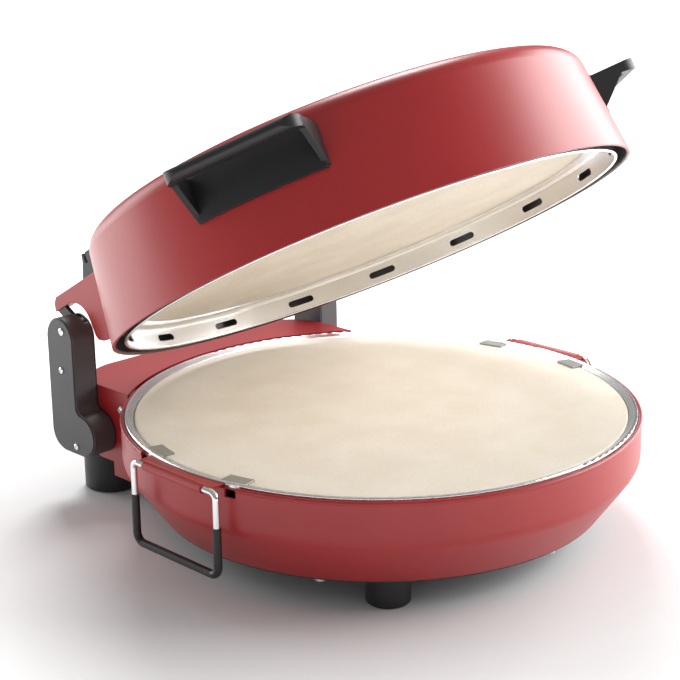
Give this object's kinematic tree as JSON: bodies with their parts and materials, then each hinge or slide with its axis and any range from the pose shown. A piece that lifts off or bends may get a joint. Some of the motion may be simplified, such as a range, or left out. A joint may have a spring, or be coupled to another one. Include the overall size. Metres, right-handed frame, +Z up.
{
  "type": "electric pizza maker",
  "caption": "Round countertop pizza maker with a baking stone, a hinged domed lid with side handles, wire carrying bails and a rear housing on feet.",
  "frame": {"origin": "on the table, under the middle of the outline", "axes": "+Z up, +Y from the front to the hinge, +X to the right seen from the front"},
  "size_m": [0.3734, 0.38, 0.3143],
  "materials": {
    "red_paint": "satin",
    "bright_steel": "polished",
    "zinc_steel": "matte",
    "grey_steel": "satin",
    "black_steel": "satin",
    "element_steel": "matte",
    "baking_stone": "matte",
    "lid_stone": "matte",
    "ceramic": "matte",
    "black_plastic": "matte",
    "grey_plastic": "matte",
    "lamp_plastic": "gloss",
    "chromed_wire": "polished",
    "black_sleeve": "satin",
    "mineral_wool": "matte"
  },
  "bodies": {
    "base": {"base_shell": "red_paint", "base_plate": "black_steel", "base_plate_screws": "zinc_steel", "tray_rim": "bright_steel", "baking_stone": "baking_stone", "stone_clips": "grey_steel", "base_reflector": "zinc_steel", "lower_element": "element_steel", "lower_element_clips": "zinc_steel", "rear_housing": "red_paint", "housing_cover": "zinc_steel", "housing_screws": "bright_steel", "terminal_block": "ceramic", "thermostat": "zinc_steel", "pilot_lamp": "lamp_plastic", "cord_gland": "black_plastic", "front_feet": "black_plastic", "rear_feet": "black_plastic", "foot_screws": "zinc_steel", "left_bail_bracket": "red_paint", "right_bail_bracket": "red_paint", "left_hinge_bracket": "black_steel", "right_hinge_bracket": "black_steel", "left_arm_cover": "grey_plastic", "right_arm_cover": "grey_plastic", "arm_screws": "bright_steel", "pivot_pins": "bright_steel"},
    "lid": {"lid_shell": "red_paint", "lid_ring": "bright_steel", "lid_stone": "lid_stone", "lid_reflector": "zinc_steel", "upper_element": "element_steel", "upper_element_clips": "zinc_steel", "lid_insulation": "mineral_wool", "left_lid_handle": "black_plastic", "right_lid_handle": "black_plastic", "handle_screws": "zinc_steel", "left_hinge_lug": "red_paint", "right_hinge_lug": "red_paint", "left_hinge_leaf": "black_steel", "right_hinge_leaf": "black_steel", "leaf_rivets": "zinc_steel", "lug_screws": "zinc_steel", "lug_forks": "grey_steel"},
    "left_bail": {"left_bail_wire": "chromed_wire", "left_bail_grip": "black_sleeve"},
    "right_bail": {"right_bail_wire": "chromed_wire", "right_bail_grip": "black_sleeve"},
    "knob": {"thermostat_knob": "black_plastic"}
  },
  "joints": [
    {"name": "lid_hinge", "type": "hinge", "parent": "base", "child": "lid", "pos_m": [0, 0.1531, 0.118], "axis": [-1, 0, 0], "range_deg": [-30.2, 55]},
    {"name": "left_bail_hinge", "type": "hinge", "parent": "base", "child": "left_bail", "pos_m": [-0.171, -0.0229, 0.0766], "axis": [0, 1, 0], "range_deg": [0, 165]},
    {"name": "right_bail_hinge", "type": "hinge", "parent": "base", "child": "right_bail", "pos_m": [0.171, -0.0229, 0.0766], "axis": [0, -1, 0], "range_deg": [0, 165]},
    {"name": "thermostat_turn", "type": "hinge", "parent": "base", "child": "knob", "pos_m": [0.048, 0.1745, 0.05375], "axis": [0, 1, 0], "range_deg": [0, 270]}
  ]
}
